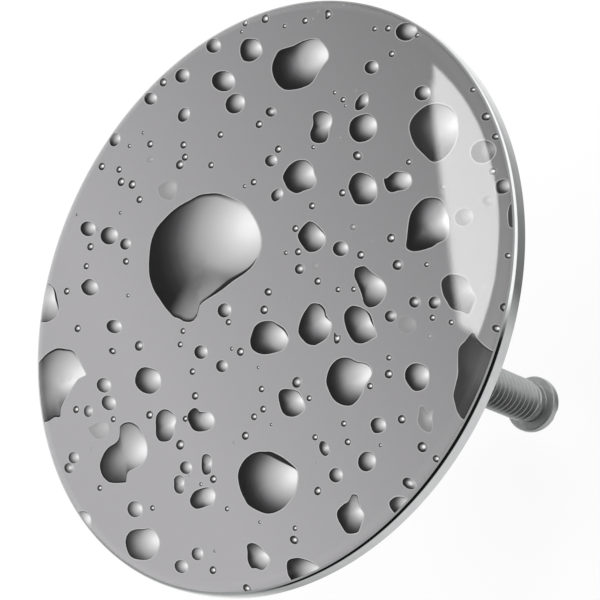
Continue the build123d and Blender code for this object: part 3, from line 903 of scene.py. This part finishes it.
def threaded(name, crest, root, pitch, bottom, top, material, steps=64):
    """A threaded rod as a plain mesh, sizes in millimetres."""
    maker = bpy.data.objects.new(name, bpy.data.meshes.new(name))
    bpy.context.collection.objects.link(maker)
    winding = maker.modifiers.new("thread", "NODES")
    winding.node_group = thread_maker
    rows = (math.ceil((top - bottom) / pitch) + 3) * rows_each_turn
    amounts = {
        "Crest Radius": crest * MM, "Root Radius": root * MM, "Pitch": pitch * MM, "Bottom": bottom * MM,
        "Top": top * MM, "Rows": rows, "Steps Round": steps, "Finish": material,
    }
    for item in thread_maker.interface.items_tree:
        if item.in_out == "INPUT":
            winding[item.identifier] = amounts[item.name]
    evaluated = maker.evaluated_get(bpy.context.evaluated_depsgraph_get())
    mesh = bpy.data.meshes.new_from_object(evaluated)
    bpy.data.objects.remove(maker)
    form = bmesh.new()
    form.from_mesh(mesh)
    bmesh.ops.recalc_face_normals(form, faces=form.faces)
    form.to_mesh(mesh)
    form.free()
    mesh.polygons.foreach_set("use_smooth", [True] * len(mesh.polygons))
    return new_piece(name, mesh, material)


def with_flats(point):
    """Cuts the collar's two spanner flats."""
    if point.z > (flange_top + flats_start) / 2:
        point.y = max(-flats_radius, min(flats_radius, point.y))
    return point


hub = turned(
    "hub_body",
    rounded(
        [
            (hub_bore_radius, hub_low.z + bore_chamfer, 0),
            (hub_bore_radius + bore_chamfer, hub_low.z, 0),
            (hub_core_radius, hub_low.z, 0),
            (hub_core_radius, flange_underside, 0),
            (flange_radius, flange_underside, turned_edge),
            (flange_radius, flange_top, turned_edge),
            (collar_radius, flange_top, 0),
            (collar_radius, flats_start, 0),
            (collar_radius, hub_high.z, collar_rounding),
            (hub_bore_radius, hub_high.z, 0),
        ],
        4,
    ),
    brass,
    segments=192,
    shape=with_flats,
)
hub_thread = threaded(
    "hub_thread", hub_thread_radius, hub_thread_root, hub_thread_pitch, hub_thread_low, hub_thread_high,
    brass, steps=96,
)
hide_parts("hub")
for piece in (hub, hub_thread):
    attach(piece, "stopper")

# Rubber seal. A moulded ring like an umbrella, whose lip closes the drain. It is matt,
# with the mould's fine grain and a parting line round the lip.

parting_height = 1.0
rubber, place = new_material("moulded_rubber")
pores = grain(place, 9.0, 4.0)
bloom = grain(place, 0.25, 4.0)
height = place.node("ShaderNodeSeparateXYZ", None, {0: place}, 2)
off_line = height - parting_height
parting = (off_line * off_line).ramp(0.0, 0.012, 1.0, 0.0)
finish_material(
    rubber,
    {
        "Base Color": mixed(bloom.ramp(0.4, 0.8), shade(0.018), shade(0.035)),
        "Roughness": (pores * 0.3 + bloom).ramp(0.3, 1.0, 0.5, 0.72),
        "Normal": bumped(pores * 0.25 + parting, 0.05),
    },
)
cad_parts["drain_seal"].material_slots[0].material = rubber

# Carrier. A dish pressed from stainless sheet that backs the rubber. The seal's nut clamps
# both against the hub's flange.

pressed, place = new_material("pressed_stainless")
rub = grain(place, 2.0, 3.0, (1.0, 1.0, 12.0))
finish_metal(
    pressed,
    mixed(rub, shade(0.5), shade(0.62, (1.0, 0.99, 0.97))),
    rub.ramp(0.25, 0.8, 0.22, 0.36),
    bumped(rub, 0.006),
)
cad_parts["seal_carrier"].material_slots[0].material = pressed

# Nuts, washer and cap screw. The seal's nut is turned brass as the hub is; washer, lock
# nut and cap screw are zinc plated steel.

zinc, place = new_material("zinc_plated_steel")
bath = grain(place, 0.8, 4.0)
fine = grain(place, 12.0, 3.0)
finish_metal(
    zinc,
    mixed(bath.ramp(0.3, 0.75), shade(0.44, (0.98, 1.0, 1.0)), shade(0.56, (1.0, 1.0, 0.98))),
    (bath * 0.6 + fine * 0.4).ramp(0.3, 0.7, 0.24, 0.4),
    bumped(fine, 0.004),
)
plain_pieces = {"seal_nut": brass, "lock_nut": zinc, "lock_washer": zinc, "cap_screw": zinc}
for name, material in plain_pieces.items():
    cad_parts[name].material_slots[0].material = material

# Adjusting screw. A long steel screw that stands on the waste's lever: rolled thread,
# smooth neck, and a small rounded head with a slot in its end.

rod_low, rod_high = (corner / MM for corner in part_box("adjusting_screw"))
head_radius = rod_high.x
head_height = 2.2
head_end_rounding, head_edge = 1.4, 0.3
head_slot_width, head_slot_depth, slot_cutter_length = 1.0, 1.0, 20.0
neck_height = 1.2
neck_radius = 2.65
neck_fall = 0.15
neck_foot_rounding, neck_edge, core_edge = 0.15, 0.1, 0.05
head_top = rod_low.z + head_height
neck_top = head_top + neck_height
core_top = neck_top + 0.2
thread_low = neck_top - 0.1
thread_crest = 2.9
thread_root = 2.42
thread_pitch = 1.0
core_radius = thread_root + 0.02        # a little proud of the root, so that no gap shows

screw_steel, place = new_material("screw_steel")
oil = grain(place, 0.6, 4.0)
scratch = grain(place, 5.0, 3.0, (1.0, 1.0, 0.15))
finish_metal(
    screw_steel,
    mixed(oil.ramp(0.3, 0.75), shade(0.54, (0.98, 1.0, 1.0)), shade(0.62, (0.98, 1.0, 1.0))),
    (oil * 0.5 + scratch * 0.5).ramp(0.3, 0.7, 0.38, 0.48),
    bumped(scratch, 0.002),
)
screw_thread = threaded(
    "screw_thread", thread_crest, thread_root, thread_pitch, thread_low, rod_high.z, screw_steel, steps=72
)
head = turned(
    "screw_head",
    rounded(
        [
            (0, core_top, 0),
            (core_radius, core_top, core_edge),
            (neck_radius, neck_top - neck_fall, neck_edge),
            (neck_radius, head_top, neck_foot_rounding),
            (head_radius, head_top, head_edge),
            (head_radius, rod_low.z, head_end_rounding),
            (0, rod_low.z, 0),
        ],
        10,
    ),
    screw_steel,
    segments=128,
)
slot_cutter = bpy.data.objects.new("slot_cutter", bpy.data.meshes.new("slot_cutter"))
bpy.context.collection.objects.link(slot_cutter)
cutter_size = Vector((slot_cutter_length, head_slot_width, 2 * head_slot_depth)) * MM
head_end = Matrix.Translation((0, 0, rod_low.z * MM))
form = bmesh.new()
bmesh.ops.create_cube(form, size=1.0, matrix=head_end @ Matrix.Diagonal((*cutter_size, 1)))
form.to_mesh(slot_cutter.data)
form.free()
cut = head.modifiers.new("slot", "BOOLEAN")
cut.operation, cut.object, cut.solver = "DIFFERENCE", slot_cutter, "EXACT"
slotted = bpy.data.meshes.new_from_object(head.evaluated_get(bpy.context.evaluated_depsgraph_get()))
head.modifiers.clear()
head.data = slotted
smoothed(slotted)
bpy.data.objects.remove(slot_cutter)
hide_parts("adjusting_screw")
for piece in (screw_thread, head):
    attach(piece, "screw")

# Studio. A white table under the plug, two soft lamps, and glowing sheets that only mirrors
# and lenses see: a tent of dark and light panels, and the strip that shines on the lens.

tilt, roll = math.radians(42.413), math.radians(22.831)
picture_right = Vector((math.cos(roll) * math.cos(tilt), math.sin(roll), -math.cos(roll) * math.sin(tilt)))
picture_up = Vector((-math.sin(roll) * math.cos(tilt), math.cos(roll), math.sin(roll) * math.sin(tilt)))
towards_camera = Vector((math.sin(tilt), 0, math.cos(tilt)))
face = Vector((0, 0, plate_high.z))
camera_right, camera_down, camera_distance = 5.05, 1.234, 260.0
eye = face + picture_right * camera_right - picture_up * camera_down + towards_camera * camera_distance
eye *= MM


def standing(spot, right, up, back):
    """The place of a camera or lamp that looks away from back."""
    return Matrix.Translation(spot) @ Matrix((right, up, back)).transposed().to_4x4()


camera_data = bpy.data.cameras.new("camera")
camera_data.lens, camera_data.sensor_width, camera_data.sensor_fit = 133.5, 36.0, "HORIZONTAL"
camera_data.clip_start, camera_data.clip_end = 0.01, 20.0
camera = bpy.data.objects.new("camera", camera_data)
camera.matrix_world = standing(eye, picture_right, picture_up, towards_camera)
bpy.context.collection.objects.link(camera)
bpy.context.scene.camera = camera


def seen_rays(wire):
    """1 for rays from the camera, a mirror or a lens, 0 for the rays that light a dull surface."""
    camera_ray = wire.node("ShaderNodeLightPath")
    glossy_ray, passed_ray = camera_ray.other("Is Glossy Ray"), camera_ray.other("Is Transmission Ray")
    return camera_ray.math("MAXIMUM", glossy_ray).math("MAXIMUM", passed_ray)


table_level = rod_low.z - 8.7       # below the screw's head at the end of its travel
table_radius = 3000.0
table_white, place = new_material("table_white")
cloudy = mixed(grain(place, 0.004), shade(0.29), shade(0.31))
dull = place.node("ShaderNodeBsdfDiffuse", None, {"Color": cloudy})
glow = place.node("ShaderNodeEmission", None, {"Color": shade(1.0), "Strength": 0.73})
pale = place.node("ShaderNodeBsdfDiffuse", None, {"Color": shade(0.8)})
shown = place.node("ShaderNodeAddShader", None, {0: dull, 1: glow})
finish_material(table_white, {0: seen_rays(place), 1: pale, 2: shown}, "ShaderNodeMixShader")
form = bmesh.new()
level = Matrix.Translation((0, 0, table_level * MM))
bmesh.ops.create_circle(form, cap_ends=True, segments=96, radius=table_radius * MM, matrix=level)
table_mesh = bpy.data.meshes.new("table")
form.to_mesh(table_mesh)
form.free()
new_piece("table", table_mesh, table_white)


def hung(piece):
    """Makes a glowing sheet one that only mirrors and lenses see."""
    piece.data.materials[0].cycles.emission_sampling = "NONE"
    piece.visible_camera = piece.visible_diffuse = piece.visible_shadow = False


# The panels are drawn by azimuth and lift in degrees, seen from the plug's middle; the camera
# stands at azimuth 0. Near the plug the tent's floor has a ring of its own for the cap's side.
tent_cloth, place = new_material("tent_panels")
east = place.node("ShaderNodeSeparateXYZ", None, {0: place})
north, high = east.other(1), east.other(2)
azimuth = north.math("ARCTAN2", east) * math.degrees(1)
outward = (east * east + north * north) ** 0.5
lift = high.math("ARCTAN2", outward) * math.degrees(1)
turned_away = azimuth.math("ABSOLUTE")
dark = azimuth.ramp(-132.0, -98.0) * azimuth.ramp(13.0, 21.0, 1.0, 0.0) * lift.ramp(40.0, 54.0, 1.0, 0.0)
dark = dark * (1 - azimuth.ramp(-100.0, -84.0, 1.0, 0.0) * lift.ramp(0.0, 22.0, 1.0, 0.0))
horizon = turned_away.ramp(95.0, 125.0) * lift.ramp(28.0, 38.0, 1.0, 0.0)
window = azimuth.ramp(18.0, 28.0) * azimuth.ramp(85.0, 125.0, 1.0, 0.0) * lift.ramp(14.0, 44.0, 1.0, 0.0)
card = turned_away.ramp(158.0, 168.0) * lift.ramp(34.0, 39.0) * lift.ramp(55.0, 60.0, 1.0, 0.0)
ring_shades = [
    (0.15, 1.0), (0.2, 0.62), (0.235, 0.4), (0.3, 0.55), (0.37, 0.66), (0.5, 0.66), (0.545, 0.58),
    (0.585, 0.17), (0.64, 0.23), (0.7, 0.4), (0.765, 0.8), (0.83, 1.0),
]
near_ring = azimuth.node(
    "ShaderNodeValToRGB",
    {"stops": [(around, (grey, grey, grey)) for around, grey in ring_shades]},
    {0: azimuth / 360.0 + 0.5},
)
panels = mixed(dark, shade(0.36), shade(0.008))
panels = mixed(horizon, panels, shade(0.75))
panels = mixed(window, panels, shade(1.1))
panels = mixed(card, panels, shade(0.1))
panels = mixed(outward.ramp(116.0, 134.5, 1.0, 0.0), panels, near_ring)
finish_material(tent_cloth, {"Color": panels, "Strength": 1.0}, "ShaderNodeEmission")
tent_radius, tent_steps = 1700.0, 24
tent_floor = table_level + 0.5
tent_outline = [(0, tent_floor), (tent_radius, tent_floor)]
for step in range(1, tent_steps):
    angle = math.radians(90 * step / tent_steps)
    tent_outline.append((tent_radius * math.cos(angle), tent_radius * math.sin(angle)))
tent_outline.append((0, tent_radius))
hung(turned("tent", tent_outline, tent_cloth, segments=72))


def soft_box(name, corners, radiance, edge):
    """A glowing sheet with a soft edge round its corners, in metres; radiance 1 is white."""
    material, place = new_material(name)
    facing = (corners[1] - corners[0]).cross(corners[-1] - corners[0]).normalized()
    inside = None
    for a, b in zip(corners, corners[1:] + corners[:1]):
        inward = facing.cross(b - a).normalized()
        depth = place.node("ShaderNodeVectorMath", {"operation": "DOT_PRODUCT"}, {0: place, 1: inward}, 1)
        share = (depth - inward.dot(a) / MM).ramp(0.0, edge / MM)
        inside = share if inside is None else inside * share
    open_air = place.node("ShaderNodeBsdfTransparent")
    glow = place.node("ShaderNodeEmission", None, {"Color": shade(1.0), "Strength": radiance})
    finish_material(material, {0: inside, 1: open_air, 2: glow}, "ShaderNodeMixShader")
    mesh = bpy.data.meshes.new(name)
    mesh.from_pydata([tuple(corner) for corner in corners], [], [list(range(len(corners)))])
    hung(new_piece(name, mesh, material))


def mirrored(x, y, distance):
    """The point that the camera sees mirrored in the lens at a place of the cap, this far away."""
    spot = Vector((x, y, lens_high.z)) * MM
    bow = 2 * lens_crown_drop / shoulder.x**2
    normal = Vector((bow * x, bow * y, 1.0)).normalized()
    ray = (spot - eye).normalized()
    return spot + (ray - 2 * ray.dot(normal) * normal) * distance


strip_places = [
    (12.5, 33.6), (12.4, 28.4), (29.9, 4.3), (36.4, 4.2), (37.0, 10.5), (35.4, 16.0), (32.6, 21.2),
    (25.4, 28.4), (19.2, 31.7),
]
strip_distance = 0.7
soft_box("lens_strip", [mirrored(x, y, strip_distance) for x, y in strip_places], radiance=9.7, edge=0.005)


def lamp(name, middle, upwards, width, height, radiance):
    """A rectangular lamp that faces the cap, sizes in metres; radiance 1 is white."""
    light = bpy.data.lights.new(name, "AREA")
    light.shape, light.size, light.size_y = "RECTANGLE", width, height
    light.energy = radiance * math.pi * width * height
    box = bpy.data.objects.new(name, light)
    back = (middle - face * MM).normalized()
    side = upwards.cross(back).normalized()
    box.matrix_world = standing(middle, side, back.cross(side), back)
    box.visible_glossy = False
    bpy.context.collection.objects.link(box)


lamp("side_box", Vector((0.25, 0.75, 0.5)), Vector((0, 0, 1)), width=1.1, height=0.55, radiance=2.8)
lamp("overhead", Vector((-0.1, -0.2, 1.1)), Vector((0, 1, 0)), width=1.2, height=1.2, radiance=0.75)

world = bpy.data.worlds.new("studio")
world.use_nodes = True
world.node_tree.nodes.clear()
sky = mixed(seen_rays(Wire(world.node_tree)), shade(0.55), shade(1.0))
sky = sky.node("ShaderNodeBackground", None, {"Color": sky, "Strength": 1.0})
sky.node("ShaderNodeOutputWorld", None, {"Surface": sky})
bpy.context.scene.world = world
bpy.context.scene.view_settings.view_transform = "Standard"
